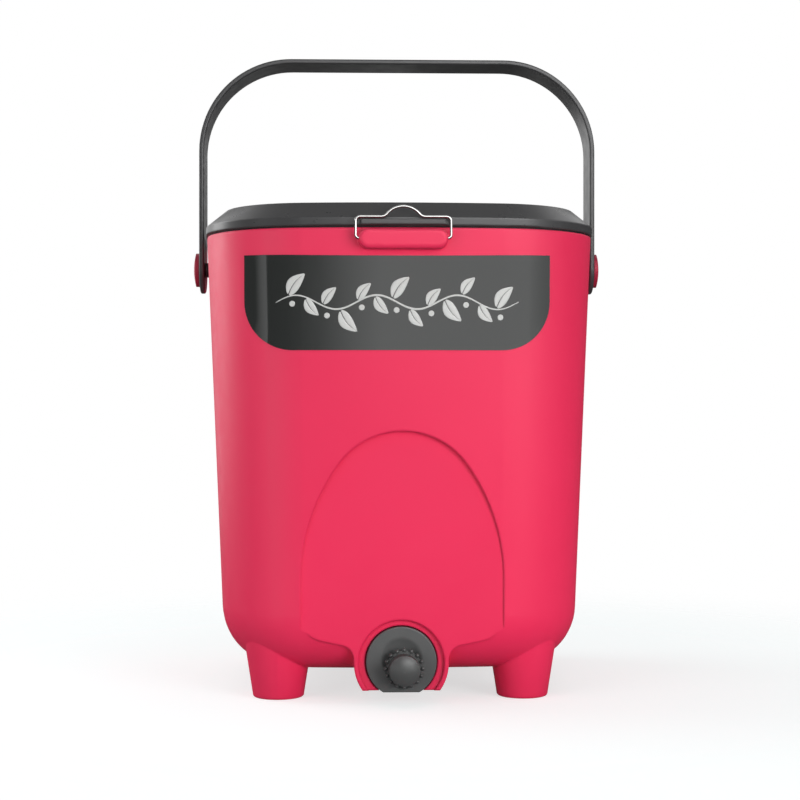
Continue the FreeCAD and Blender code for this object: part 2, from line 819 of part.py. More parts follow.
def make_lid():
    """Charcoal lid: band, wide chamfer, dipped top, inner skirt and a catch ledge front and rear."""
    body = new_body("lid_shell")
    pad(body, plan_sketch(body, "band_outline", LID_Z, "0"), "band_height", "band")
    low = plan_sketch(body, "chamfer_low", BAND_Z, "0")
    high = plan_sketch(body, "chamfer_high", LID_TOP, "chamfer_run")
    loft(body, low, high, "chamfer")
    for name, height in (("top_edge", LID_TOP), ("band_edge", BAND_Z), ("lower_edge", LID_Z)):
        soften(body, "lid_edge", name, lambda edge: level(edge, number(height)))
    dip = plan_sketch(body, "dip_outline", LID_TOP, "chamfer_run + top_margin")
    pocket(body, dip, "top_dip", "dip")
    skirt = plan_sketch(body, "skirt_outline", LID_Z, SKIRT_INSET)
    pad(body, skirt, "skirt_depth", "skirt", reverse=True)
    inside = f"{SKIRT_INSET} + lid_wall"
    bottom = plan_sketch(body, "hollow_outline", f"{LID_Z} - skirt_depth", inside)
    pocket(body, bottom, "skirt_depth + band_height - lid_wall", "hollow", reverse=True)
    low = plan_sketch(body, "roof_low", f"{BAND_Z} - lid_wall", inside)
    high = plan_sketch(body, "roof_high", f"{LID_TOP} - top_dip - lid_wall", f"{inside} + chamfer_run")
    loft(body, low, high, "roof", "SubtractiveLoft")
    catch_top = f"{LATCH_Z} + latch_rise * cos(latch_lean * 1deg) - wire_radius - catch_gap"
    for name, sign in (("front_catch", "-1"), ("rear_catch", "1")):
        sketch = new_sketch(body, f"{name}_outline", lift=f"{catch_top} - catch_height")
        root = f"{sign} * (plan_half - catch_root)"
        lip = f"{sign} * (plan_half + catch_reach)"
        profile(
            sketch,
            [(f"-{CATCH_HALF}", root), (f"-{CATCH_HALF}", lip), (CATCH_HALF, lip), (CATCH_HALF, root)],
        )
        pad(body, sketch, "catch_height", name)
    return body


def make_seal():
    """Flat ring seal under the lid, seated just above the bucket rim."""
    body = new_body("lid_seal")
    inner = "seal_inset + seal_width"
    sketch = plan_sketch(body, "seal_outline", "rim_z + seal_clear", "seal_inset", inner)
    pad(body, sketch, "lid_gap - seal_clear", "seal_ring")
    return body


# Wire latches


def make_latch(label, side):
    """Bent wire: two tips on the pivot line, two arms and a bar with a thumb hump."""
    body = new_body(label)
    path = new_sketch(body, f"{label}_path", "XZ_Plane")
    rise = "hump_crown + hump_foot"
    stand = "hump_foot + hump_crown - hump_rise"
    run = f"sqrt(({rise})^2 - ({stand})^2)"
    meet_x = f"({run}) * hump_crown / ({rise})"
    meet_up = f"latch_rise + hump_rise - hump_crown + ({stand}) * hump_crown / ({rise})"
    half = [
        ("lug_half - tip_depth", "0"),
        (f"{LATCH_HALF} - wire_bend", "0"),
        (LATCH_HALF, "wire_bend"),
        (LATCH_HALF, "latch_rise - wire_turn"),
        (f"{LATCH_HALF} - wire_turn", "latch_rise"),
        (run, "latch_rise"),
        (meet_x, meet_up),
    ]
    mirrored = [(f"-({across})", up) for across, up in reversed(half)]
    arcs = {
        1: ("wire_bend", 1),
        3: ("wire_turn", 1),
        5: ("hump_foot", -1),
        6: ("hump_crown", 1),
        7: ("hump_foot", -1),
        9: ("wire_turn", 1),
        11: ("wire_bend", 1),
    }
    profile(path, half + mirrored, arcs, closed=False)
    section = new_sketch(body, f"{label}_section", "YZ_Plane", "lug_half - tip_depth")
    circle(section, "wire_radius")
    doc.recompute()
    wire = body.newObject("PartDesign::AdditivePipe", f"{label}_wire")
    wire.Profile = section
    wire.Spine = path
    doc.recompute()
    lean = Rotation(Vector(1, 0, 0), -number("latch_lean"))
    turn = UPRIGHT if side < 0 else HALF_TURN
    settle(body, ("0", f"{side} * {LATCH_Y}", LATCH_Z), turn.multiply(lean))
    return body


# Handle


def make_handle():
    """Flat bail: two legs with round ends on the pivot line, and a bar with wide corners."""
    body = new_body("handle_strap")
    sketch = new_sketch(body, "bail_outline", "XZ_Plane")
    outer = BAIL_HALF
    inner = f"{BAIL_HALF} - bail_thick"
    turn = "bail_rise - bail_corner"
    flat = f"{BAIL_HALF} - bail_corner"
    inner_corner = "bail_corner - bail_thick"
    profile(
        sketch,
        [
            (outer, "0"),
            (outer, turn),
            (flat, "bail_rise"),
            (f"-({flat})", "bail_rise"),
            (f"-({outer})", turn),
            (f"-({outer})", "0"),
            (f"-({inner})", "0"),
            (f"-({inner})", turn),
            (f"-({flat})", "bail_rise - bail_thick"),
            (flat, "bail_rise - bail_thick"),
            (inner, turn),
            (inner, "0"),
        ],
        {
            1: ("bail_corner", 1),
            3: ("bail_corner", 1),
            7: (inner_corner, -1),
            9: (inner_corner, -1),
        },
    )
    pad(body, sketch, "2 * strap_half", "bail", both=True)
    for name, lift in (("right_eye", inner), ("left_eye", f"-({outer})")):
        sketch = new_sketch(body, f"{name}_outline", "YZ_Plane", lift)
        circle(sketch, "strap_half")
        pad(body, sketch, "bail_thick", name)
    for name, lift in (("right_eye", outer), ("left_eye", f"-({inner})")):
        sketch = new_sketch(body, f"{name}_hole_outline", "YZ_Plane", lift)
        circle(sketch, "pin_radius + pin_clear")
        pocket(body, sketch, "bail_thick", f"{name}_hole")
    width = number("strap_half")
    hole = number("pin_radius + pin_clear") + 1e-3

    def rim(edge):
        box = edge.BoundBox
        along = abs(abs(box.YMin) - width) < 1e-4 and abs(box.YMax - box.YMin) < 1e-4
        eye = box.XLength < 1e-4 and box.ZMin < -hole and box.YLength > 2 * hole
        return along and max(box.XLength, box.ZLength) > number("bail_thick") + 1e-3 or eye

    soften(body, "strap_edge", "strap_edges", rim)
    settle(body, ("0", "0", PIVOT_Z), UPRIGHT)
    return body


# Pivot sets, built along a side's own outward axis

WALL_AT_PIVOT = f"plan_half - ({lean_inset(PIVOT_Z)})"


def side_piece(label, side, sketch_corners, arcs=None):
    """Turned piece on the pivot line; its profile is in radius and distance from the centre line."""
    body = new_body(label)
    sketch = new_sketch(body, f"{label}_profile", "XZ_Plane")
    profile(sketch, sketch_corners, arcs)
    turn_solid(body, sketch, f"{label}_turned")
    settle(body, ("0", "0", PIVOT_Z), Rotation(Vector(0, 1, 0), 90 * side))
    return body


def make_pivot(name, side):
    """Domed pin through wall, bush and handle leg, held by a push-on clip inside."""
    head = f"{BAIL_HALF} + head_gap"
    rim = f"{head} + head_thick - head_crown"
    crown = f"({head}) + head_thick"
    dome = "(head_radius^2 + head_crown^2) / (2 * head_crown)"
    inner_face = f"{WALL_AT_PIVOT} - wall"
    tip = f"{inner_face} - push_clip_thick - pin_end"
    pin_piece = side_piece(
        f"{name}_pivot_pin",
        side,
        [
            ("0", tip),
            ("pin_radius", tip),
            ("pin_radius", head),
            ("head_radius", head),
            ("head_radius", rim),
            ("0", crown),
        ],
        {4: (dome, 1)},
    )
    bore = "pin_radius + pin_clear"
    bush_end = f"{BAIL_HALF} - bail_thick - bush_clear"
    bush_start = f"{WALL_AT_PIVOT} + bush_clear"
    bush = side_piece(
        f"{name}_pivot_bush",
        side,
        [(bore, bush_start), ("bush_radius", bush_start), ("bush_radius", bush_end), (bore, bush_end)],
    )
    clip_end = f"{inner_face} - bush_clear"
    clip_start = f"{clip_end} - push_clip_thick"
    clip = side_piece(
        f"{name}_pivot_clip",
        side,
        [
            (bore, clip_start),
            ("push_clip_radius", clip_start),
            ("push_clip_radius", clip_end),
            (bore, clip_end),
        ],
    )
    return [pin_piece, bush, clip]


# Tap, built along its own axis: Z runs out of the recess floor towards the front

TAP_AXIS = ("tap_shift", f"recess_depth - {PANEL_Y}", TAP_Z)
DISC_FACE = "gasket_thick + disc_thick"
DISH_FLOOR = f"{DISC_FACE} - dish_depth"
SHANK_END = "-(tap_wall + washer_thick + nut_thick + clip_thick)"
PORT_PLACE = "gasket_thick + port_radius + clip_gap"
BORE = "plug_radius + plug_clear"


def ring_piece(label, bore, radius, low, high):
    """Plain ring on the tap's axis between two distances from the recess floor."""
    body = new_body(label)
    sketch = new_sketch(body, f"{label}_profile", "XZ_Plane")
    profile(sketch, [(bore, low), (radius, low), (radius, high), (bore, high)])
    turn_solid(body, sketch, f"{label}_ring")
    settle(body, TAP_AXIS, FORWARD)
    return body


def make_tap_body():
    """Black flange: straight lower edge, dished face, shank through the wall and a drip outlet."""
    body = new_body("tap_body")
    sketch = new_sketch(body, "disc_outline", lift="gasket_thick")
    across = "housing_shift - tap_shift"
    flatted_disc(sketch, "disc_radius", across, f"{DISC_Z} - {TAP_Z}", f"{DISC_FLAT_Z} - {TAP_Z}")
    pad(body, sketch, "disc_thick", "disc")
    face = number(DISC_FACE)
    soften(body, "disc_edge", "disc_edges", lambda edge: level(edge, face))
    dish_up = f"{TAP_Z} - {DISC_Z} - dish_rise"
    sketch = new_sketch(body, "dish_outline", "XZ_Plane", dish_up, across)
    bowl = "(dish_radius^2 + dish_depth^2) / (2 * dish_depth)"
    profile(
        sketch,
        [("0", DISH_FLOOR), ("dish_radius", DISC_FACE), ("0", DISC_FACE)],
        {0: (bowl, 1)},
    )
    turn_solid(body, sketch, "dish", "Groove")
    brim = 2 * math.pi * number("dish_radius")
    soften(body, "dish_lip", "dish_brim", lambda edge: level(edge, face) and abs(edge.Length - brim) < 1e-3)
    sketch = new_sketch(body, "shank_outline", lift="gasket_thick")
    circle(sketch, "shank_radius")
    pad(body, sketch, f"gasket_thick - ({SHANK_END})", "shank", reverse=True)
    sketch = new_sketch(body, "bore_outline", lift=DISC_FACE)
    circle(sketch, BORE)
    pocket(body, sketch, f"{DISC_FACE} - ({SHANK_END})", "bore")
    sketch = new_sketch(body, "outlet_outline", "XZ_Plane")
    circle(sketch, "port_radius", "0", PORT_PLACE)
    pocket(body, sketch, "disc_radius", "outlet", reverse=True)
    settle(body, TAP_AXIS, FORWARD)
    return body


def make_nut():
    """Six-sided nut that clamps the tap from inside."""
    body = new_body("tap_nut")
    high = "-(tap_wall + washer_thick)"
    sketch = new_sketch(body, "nut_outline", lift=high)
    count = int(number("nut_count"))
    corners = []
    for corner in range(count):
        angle = f"{360 / count * corner}deg"
        corners.append((f"nut_radius * cos({angle})", f"nut_radius * sin({angle})"))
    profile(sketch, corners)
    pad(body, sketch, "nut_thick", "nut_block", reverse=True)
    sketch = new_sketch(body, "nut_bore_outline", lift=high)
    circle(sketch, "shank_radius + plug_clear")
    pocket(body, sketch, "nut_thick", "nut_bore")
    settle(body, TAP_AXIS, FORWARD)
    return body


PLUG_END = f"{SHANK_END} - clip_gap - 2 * clip_thick"
PLUG_FRONT = "neck_end + knob_socket"


def groove_place(index):
    """Start of one O-ring groove along the plug."""
    return f"gasket_thick - ({index} + 1) * groove_pitch"


def make_plug():
    """Turning barrel: bored from inside to a side port, with two O-ring grooves and a clip groove."""
    body = new_body("valve_plug")
    sketch = new_sketch(body, "plug_outline", lift=PLUG_END)
    circle(sketch, "plug_radius")
    pad(body, sketch, f"{PLUG_FRONT} - ({PLUG_END})", "barrel")
    sketch = new_sketch(body, "plug_bore_outline", lift=PLUG_END)
    circle(sketch, "plug_bore")
    pocket(body, sketch, f"{PORT_PLACE} + port_radius - ({PLUG_END})", "plug_bore", reverse=True)
    sketch = new_sketch(body, "port_outline", "YZ_Plane")
    circle(sketch, "port_radius", "0", PORT_PLACE)
    pocket(body, sketch, "plug_radius", "port", reverse=True)
    floor = "plug_radius - groove_depth"
    brim = "plug_radius + groove_depth"
    bands = [(groove_place(index), "groove_width") for index in range(2)]
    bands.append((f"{SHANK_END} - clip_gap - clip_thick", "clip_thick"))
    for index, (start, width) in enumerate(bands):
        sketch = new_sketch(body, f"groove_{index}_profile", "XZ_Plane")
        end = f"{start} + {width}"
        profile(sketch, [(floor, start), (brim, start), (brim, end), (floor, end)])
        turn_solid(body, sketch, f"groove_{index}", "Groove")
    settle(body, TAP_AXIS, FORWARD)
    return body


def make_o_rings():
    """Two rubber rings that fill the plug's grooves."""
    body = new_body("plug_o_ring_front")
    rear = new_body("plug_o_ring_rear")
    for index, ring in enumerate((body, rear)):
        start = groove_place(index)
        end = f"{start} + groove_width"
        sketch = new_sketch(ring, f"o_ring_{index}_profile", "XZ_Plane")
        floor = "plug_radius - groove_depth"
        profile(sketch, [(floor, start), ("plug_radius", start), ("plug_radius", end), (floor, end)])
        turn_solid(ring, sketch, f"o_ring_{index}")
        settle(ring, TAP_AXIS, FORWARD)
    return [body, rear]


def make_knob():
    """Knob: short neck before the disc, collar of round beads and a domed barrel, pressed on the plug."""
    body = new_body("tap_knob")
    sketch = new_sketch(body, "knob_profile", "XZ_Plane")
    crown = "knob_tip - knob_shoulder"
    dome = f"(knob_core^2 + ({crown})^2) / (2 * ({crown}))"
    base = f"{DISC_FACE} + knob_gap"
    collar_end = "neck_end + bead_length - bead_radius"
    profile(
        sketch,
        [
            ("plug_radius", base),
            ("neck_radius", base),
            ("neck_radius", "neck_end"),
            ("knob_collar", "neck_end"),
            ("knob_collar", collar_end),
            ("knob_core", collar_end),
            ("knob_core", "knob_shoulder"),
            ("0", "knob_tip"),
            ("0", PLUG_FRONT),
            ("plug_radius", PLUG_FRONT),
        ],
        {6: (dome, 1)},
    )
    turn_solid(body, sketch, "barrel")
    sketch = new_sketch(body, "bead_profile", "XZ_Plane", shift="bead_ring")
    profile(
        sketch,
        [
            ("0", "neck_end"),
            ("bead_radius", "neck_end + bead_radius"),
            ("bead_radius", "neck_end + bead_length - bead_radius"),
            ("0", "neck_end + bead_length"),
        ],
        {0: ("bead_radius", 1), 2: ("bead_radius", 1)},
    )
    bead = turn_solid(body, sketch, "bead")
    polar(body, bead, "bead_count", "beads")
    settle(body, TAP_AXIS, FORWARD)
    return body


def make_tap():
    """Every piece of the drain tap."""
    bore = "shank_radius + shank_clear"
    washer_high = "-tap_wall"
    washer_low = f"{washer_high} - washer_thick"
    clip_bore = "plug_radius - groove_depth"
    clip_high = f"{SHANK_END} - clip_gap"
    clip_low = f"{clip_high} - clip_thick"
    return [
        make_tap_body(),
        ring_piece("tap_gasket", bore, "gasket_radius", "0", "gasket_thick"),
        ring_piece("tap_washer", bore, "washer_radius", washer_low, washer_high),
        make_nut(),
        make_plug(),
        *make_o_rings(),
        ring_piece("plug_circlip", clip_bore, "clip_radius", clip_low, clip_high),
        make_knob(),
    ]


nodes = [
    make_bucket(),
    make_label(),
    make_strainer(),
    make_lid(),
    make_seal(),
    make_latch("front_latch_wire", -1),
    make_latch("rear_latch_wire", 1),
    make_handle(),
    *make_pivot("left", -1),
    *make_pivot("right", 1),
    *make_tap(),
]
doc.recompute()

for item in doc.Objects:
    if "Invalid" in item.State or "Error" in item.State:
        raise RuntimeError(f"{item.Label} failed: {item.State}")
for node in nodes:
    if node.Shape.isNull() or not node.Shape.isValid() or len(node.Shape.Solids) != 1:
        raise RuntimeError(f"{node.Label} is not one valid solid")

os.makedirs("parts", exist_ok=True)
for node in nodes:
    node.Shape.exportStep(f"parts/{node.Label}.step")
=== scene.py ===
"""Finishes, printed label and small studio for a kitchen fermenting bin with a drain tap.

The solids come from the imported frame. This file dresses them, adds the thin pieces that are print or trim,
and lights the whole. Names that end in _mm are millimetres; everything given to the scene is in metres.
"""

import logging
import math
from dataclasses import dataclass
from enum import Enum
from typing import Any

import bpy
import numpy as np
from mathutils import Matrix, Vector


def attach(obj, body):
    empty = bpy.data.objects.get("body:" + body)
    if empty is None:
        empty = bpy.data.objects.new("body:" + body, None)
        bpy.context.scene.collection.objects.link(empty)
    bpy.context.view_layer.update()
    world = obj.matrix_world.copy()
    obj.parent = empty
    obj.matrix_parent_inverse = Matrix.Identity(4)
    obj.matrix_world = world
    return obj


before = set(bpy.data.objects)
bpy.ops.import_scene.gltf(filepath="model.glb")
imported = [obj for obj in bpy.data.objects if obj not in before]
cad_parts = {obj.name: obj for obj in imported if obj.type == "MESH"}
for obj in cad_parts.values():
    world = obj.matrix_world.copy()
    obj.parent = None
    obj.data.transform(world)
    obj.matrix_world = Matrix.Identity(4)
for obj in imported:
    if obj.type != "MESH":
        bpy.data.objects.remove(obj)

LOG = logging.getLogger("bin")
MM = 0.001
# Most of a noise pattern's values lie between these two.
NOISE_SPAN = (0.3, 0.7)
# A ring pattern runs through this many radians over one unit of its scaled place.
RING_RADIANS = 20.0
# Sockets of the colour mix: its share, its two colours and its result.
MIX_SHARE, MIX_FIRST, MIX_SECOND, MIX_RESULT = 0, 6, 7, 2


class Body(Enum):
    """The moving groups of the frame that new pieces ride on."""

    BIN = "bin"
    VALVE = "valve"


class Trace(Enum):
    """The way that tool marks run on a metal piece, as a stretch of the pattern along x, y and z."""

    ALONG_WIRE = (1.0, 1.0, 0.06)
    ACROSS_STRIP = (1.0, 0.08, 1.0)


def linear(code: str) -> tuple[float, float, float, float]:
    """Turn an sRGB colour into linear light.

    Args:
        code: the colour as #rrggbb.

    Returns:
        Linear red, green and blue with an alpha of one.
    """
    shown = np.array([int(code[place:place + 2], 16) for place in (1, 3, 5)]) / 255
    light = np.where(shown <= 0.04045, shown / 12.92, ((shown + 0.055) / 1.055) ** 2.4)
    return (*light.tolist(), 1.0)


def per_metre(size_mm: float) -> float:
    """Texture scale at which one feature of a pattern is size_mm wide."""
    return 1.0 / (size_mm * MM)


def add_node(
    tree: bpy.types.NodeTree, kind: str, inputs: dict[str | int, Any] | None = None, **settings: Any
) -> bpy.types.Node:
    """Add one node with its settings and links.

    Args:
        tree: the node tree that takes the node.
        kind: the node's type name.
        inputs: for each input, a value to set or an output socket to link.
        settings: properties of the node.

    Returns:
        The new node.
    """
    node = tree.nodes.new(kind)
    for name, value in settings.items():
        setattr(node, name, value)
    for key, value in (inputs or {}).items():
        if isinstance(value, bpy.types.NodeSocket):
            tree.links.new(value, node.inputs[key])
        else:
            node.inputs[key].default_value = value
    return node


def blank_material(name: str) -> tuple[bpy.types.Material, bpy.types.NodeTree]:
    """Make a material whose node tree is empty.

    Args:
        name: the material's name.

    Returns:
        The material and its tree.
    """
    material = bpy.data.materials.new(name)
    material.use_nodes = True
    material.node_tree.nodes.clear()
    return material, material.node_tree


def object_place(tree: bpy.types.NodeTree) -> bpy.types.NodeSocket:
    """Place on the object, in metres, which all patterns are drawn from."""
    return add_node(tree, "ShaderNodeTexCoord").outputs["Object"]


def noise(
    tree: bpy.types.NodeTree, place: bpy.types.NodeSocket, size_mm: float, detail: float
) -> bpy.types.NodeSocket:
    """Draw a noise pattern.

    Args:
        tree: the node tree that takes the node.
        place: where the pattern is read.
        size_mm: width of one feature.
        detail: how many finer layers lie on the first.

    Returns:
        The socket with the pattern's value.
    """
    inputs = {"Vector": place, "Scale": per_metre(size_mm), "Detail": detail}
    return add_node(tree, "ShaderNodeTexNoise", inputs).outputs["Fac"]


def blend(
    tree: bpy.types.NodeTree, share: bpy.types.NodeSocket, first: str, second: str
) -> bpy.types.NodeSocket:
    """Run from one colour to another.

    Args:
        tree: the node tree that takes the node.
        share: how much of the second colour shows.
        first: colour at nought, as #rrggbb.
        second: colour at one, as #rrggbb.

    Returns:
        The socket with the colour.
    """
    inputs = {MIX_SHARE: share, MIX_FIRST: linear(first), MIX_SECOND: linear(second)}
    return add_node(tree, "ShaderNodeMix", inputs, data_type="RGBA").outputs[MIX_RESULT]


def vary(
    tree: bpy.types.NodeTree, pattern: bpy.types.NodeSocket, middle: float, spread: float
) -> bpy.types.NodeSocket:
    """Let a value follow a noise pattern.

    Args:
        tree: the node tree that takes the node.
        pattern: the noise.
        middle: the value in the noise's middle.
        spread: how far the value goes to either side.

    Returns:
        The socket with the value.
    """
    inputs = {
        "Value": pattern,
        "From Min": NOISE_SPAN[0],
        "From Max": NOISE_SPAN[1],
        "To Min": middle - spread,
        "To Max": middle + spread,
    }
    return add_node(tree, "ShaderNodeMapRange", inputs).outputs["Result"]


def relief(
    tree: bpy.types.NodeTree, height: bpy.types.NodeSocket, depth_mm: float, strength: float = 1.0
) -> bpy.types.Node:
    """Raise a surface by a pattern.

    Args:
        tree: the node tree that takes the node.
        height: the pattern.
        depth_mm: how deep it is.
        strength: how much of it the light follows.

    Returns:
        The node with the new normal.
    """
    return add_node(
        tree, "ShaderNodeBump", {"Strength": strength, "Distance": depth_mm * MM, "Height": height}
    )


def surface(tree: bpy.types.NodeTree, inputs: dict[str | int, Any]) -> None:
    """Close a material with its shader.

    Args:
        tree: the node tree that takes the nodes.
        inputs: for each input of the shader, a value to set or an output socket to link.
    """
    shader = add_node(tree, "ShaderNodeBsdfPrincipled", inputs)
    add_node(tree, "ShaderNodeOutputMaterial", {"Surface": shader.outputs["BSDF"]})


@dataclass(frozen=True)
class Finish:
    """What every finish has: a name for the material and how it was made, and one colour."""

    name: str
    colour: str

    def material(self) -> bpy.types.Material:
        """Build the finish as a material."""
        raise NotImplementedError


@dataclass(frozen=True)
class MouldedPlastic(Finish):
    """Injection-moulded plastic: an even body colour, faint flow clouds and the grain of the mould's wall.

    The eye sees a soft highlight that breaks up slightly, and edges that catch light because no moulded edge
    is sharp.
    """

    cloud_colour: str
    ior: float
    roughness: float
    roughness_spread: float
    grain_mm: float
    grain_depth_mm: float
    cloud_mm: float = 70.0
    handling_mm: float = 9.0
    edge_mm: float = 0.8
    edge_samples: int = 6

    def material(self) -> bpy.types.Material:
        """Build the plastic from clouds in its colour, handled patches in its gloss and grain in its relief.

        Returns:
            The new material.
        """
        material, tree = blank_material(self.name)
        place = object_place(tree)
        edge = add_node(tree, "ShaderNodeBevel", {"Radius": self.edge_mm * MM}, samples=self.edge_samples)
        grain = relief(tree, noise(tree, place, self.grain_mm, 2.0), self.grain_depth_mm)
        tree.links.new(edge.outputs["Normal"], grain.inputs["Normal"])
        handled = noise(tree, place, self.handling_mm, 3.0)
        inputs = {
            "Base Color": blend(tree, noise(tree, place, self.cloud_mm, 2.0), self.colour, self.cloud_colour),
            "Roughness": vary(tree, handled, self.roughness, self.roughness_spread),
            "IOR": self.ior,
            "Normal": grain.outputs["Normal"],
        }
        surface(tree, inputs)
        return material


@dataclass(frozen=True)
class VarnishedFilm(Finish):
    """Printed polyester film under a clear varnish: a dark ink that mirrors the room with a slight ripple."""

    screen_colour: str
    screen_mm: float
    ripple_mm: float
    ripple_depth_mm: float
    roughness: float
    varnish: float
    varnish_roughness: float
    film_ior: float = 1.57
    varnish_ior: float = 1.5

    def material(self) -> bpy.types.Material:
        """Build the film from a printed screen in its colour and a long ripple in its varnish.

        Returns:
            The new material.
        """
        material, tree = blank_material(self.name)
        place = object_place(tree)
        screen = noise(tree, place, self.screen_mm, 4.0)
        ripple = relief(tree, noise(tree, place, self.ripple_mm, 1.0), self.ripple_depth_mm).outputs["Normal"]
        inputs = {
            "Base Color": blend(tree, screen, self.colour, self.screen_colour),
            "Roughness": self.roughness,
            "IOR": self.film_ior,
            "Coat Weight": self.varnish,
            "Coat Roughness": self.varnish_roughness,
            "Coat IOR": self.varnish_ior,
            "Normal": ripple,
            "Coat Normal": ripple,
        }
        surface(tree, inputs)
        return material


@dataclass(frozen=True)
class ScreenInk(Finish):
    """Screen-printed ink: an opaque pale coat, faintly mottled where it was pressed through the mesh."""

    thin_colour: str
    mottle_mm: float
    roughness: float
    ior: float = 1.5
    mottle_depth_mm: float = 0.02
    mottle_strength: float = 0.5

    def material(self) -> bpy.types.Material:
        """Build the ink from a mottle in its colour and its relief.

        Returns:
            The new material.
        """
        material, tree = blank_material(self.name)
        mottle = noise(tree, object_place(tree), self.mottle_mm, 3.0)
        inputs = {
            "Base Color": blend(tree, mottle, self.colour, self.thin_colour),
            "Roughness": self.roughness,
            "IOR": self.ior,
            "Normal": relief(tree, mottle, self.mottle_depth_mm, self.mottle_strength).outputs["Normal"],
        }
        surface(tree, inputs)
        return material


@dataclass(frozen=True)
class WorkedSteel(Finish):
    """Steel with the marks of its making: fine lines along the way that it was drawn or rolled."""

    line_colour: str
    roughness: float
    roughness_spread: float
    line_mm: float
    trace: Trace
    line_depth_mm: float = 0.01
    line_strength: float = 0.4

    def material(self) -> bpy.types.Material:
        """Build the steel from stretched lines that vary its tone and its gloss.

        Returns:
            The new material.
        """
        material, tree = blank_material(self.name)
        along = add_node(
            tree, "ShaderNodeMapping", {"Vector": object_place(tree), "Scale": self.trace.value}
        )
        lines = noise(tree, along.outputs["Vector"], self.line_mm, 3.0)
        inputs = {
            "Base Color": blend(tree, lines, self.colour, self.line_colour),
            "Metallic": 1.0,
            "Roughness": vary(tree, lines, self.roughness, self.roughness_spread),
            "Normal": relief(tree, lines, self.line_depth_mm, self.line_strength).outputs["Normal"],
        }
        surface(tree, inputs)
        return material


@dataclass(frozen=True)
class TurnedPlastic(Finish):
    """Acetal turned on a lathe: off white, with faint rings round the axis it was turned on."""

    ring_colour: str
    ring_mm: float
    axis_mm: tuple[float, float, float]
    roughness: float
    ior: float = 1.48
    ring_wobble: float = 0.4
    ring_depth_mm: float = 0.02
    ring_strength: float = 0.5

    def material(self) -> bpy.types.Material:
        """Build the plastic from rings round the y axis through its centre.

        One ring is two pi times ring_mm wide.

        Returns:
            The new material.
        """
        material, tree = blank_material(self.name)
        centre = add_node(
            tree,
            "ShaderNodeMapping",
            {"Vector": object_place(tree), "Location": [-value * MM for value in self.axis_mm]},
        )
        rings = add_node(
            tree,
            "ShaderNodeTexWave",
            {
                "Vector": centre.outputs["Vector"],
                "Scale": per_metre(self.ring_mm) / RING_RADIANS,
                "Distortion": self.ring_wobble,
            },
            wave_type="RINGS",
            rings_direction="Y",
        ).outputs["Fac"]
        inputs = {
            "Base Color": blend(tree, rings, self.colour, self.ring_colour),
            "Roughness": self.roughness,
            "IOR": self.ior,
            "Normal": relief(tree, rings, self.ring_depth_mm, self.ring_strength).outputs["Normal"],
        }
        surface(tree, inputs)
        return material


# Raspberry polypropylene from a polished mould: a clean satin, so the wall shades smoothly and its edges stay
# bright. The true grain is near 0.1 mm; it is drawn at 0.9 mm so that it still shows at this distance.
RED_POLYPROPYLENE = MouldedPlastic(
    "polypropylene_moulded_raspberry", "#e92754", "#ee2c59", 1.49, 0.42, 0.04, 0.9, 0.012, edge_mm=2.2
)
# The pins' deeper red in small mouldings: duller than the wall, with a soft light on the domed heads.
RED_PIN = MouldedPlastic(
    "polypropylene_moulded_pin", "#a61337", "#b0183c", 1.49, 0.5, 0.04, 0.7, 0.01, cloud_mm=20.0, edge_mm=0.4
)
# Spark-textured charcoal polypropylene: an even sheen with a fine sparkle; drawn at 0.7 mm so that it shows.
CHARCOAL_LID = MouldedPlastic(
    "polypropylene_spark_textured_charcoal", "#3d3d3e", "#424243", 1.49, 0.3, 0.03, 0.7, 0.014, edge_mm=1.2
)
# Satin strap, bent from a flat moulding: less grain than the lid, and a softer sheen along its edges.
CHARCOAL_STRAP = MouldedPlastic(
    "polypropylene_strap_satin_charcoal", "#3d3d3e", "#424243", 1.49, 0.34, 0.04, 0.8, 0.01, edge_mm=0.4
)
# Near-black acrylonitrile butadiene styrene of the tap: an even satin that shows the dish by its shading.
TAP_BLACK = MouldedPlastic(
    "abs_moulded_near_black", "#535454", "#5a5b5b", 1.54, 0.4, 0.05, 0.6, 0.012, cloud_mm=18.0, edge_mm=0.6
)
# The knob is the same plastic, darker and smoother from handling: its beads stay as bright points.
KNOB_BLACK = MouldedPlastic(
    "abs_handled_near_black", "#474848", "#4f5050", 1.54, 0.4, 0.05, 0.6, 0.008, cloud_mm=12.0, edge_mm=0.4
)
# The dome's rim in pale grey: a painted highlight, a fine pale line round the knob where its edge would catch
# the light.
KNOB_RIM_PAINTED_HIGHLIGHT = MouldedPlastic(
    "abs_rim_grey_painted_highlight", "#8c8d8d", "#969797", 1.54, 0.3, 0.04, 0.6, 0.004, cloud_mm=12.0, edge_mm=0.2
)
# Charcoal polypropylene of the sieve: dull, so that its holes read as plain dark dots.
STRAINER_PLASTIC = MouldedPlastic(
    "polypropylene_strainer_charcoal", "#3a3a3b", "#424243", 1.49, 0.5, 0.06, 0.8, 0.03, edge_mm=0.5
)
# Soft moulded rubber: dull black with a bloom of paler patches.
SEAL_RUBBER = MouldedPlastic(
    "nitrile_rubber_moulded_black", "#1f1f20", "#2b2b2c", 1.52, 0.72, 0.06, 0.5, 0.02,
    cloud_mm=6.0, edge_mm=0.3,
)
# Varnished film of the label: dark ink under a clear gloss that mirrors the room's light and dark bands.
LABEL_FILM = VarnishedFilm(
    "polyester_film_printed_varnished", "#2c2e2d", "#303231", 1.1, 34.0, 0.02, 0.1, 0.9, 0.04
)
# Pale ink printed on the film: flat and light, without the film's gloss.
LABEL_INK = ScreenInk("screen_ink_pale_grey", "#d6d6d4", "#c8c9c7", 0.9, 0.4)
# Bright drawn stainless wire: mirrors lid and room, with drawing lines along its length.
LATCH_WIRE = WorkedSteel(
    "stainless_wire_bright_drawn", "#c6c6c4", "#adadac", 0.16, 0.04, 0.5, Trace.ALONG_WIRE
)
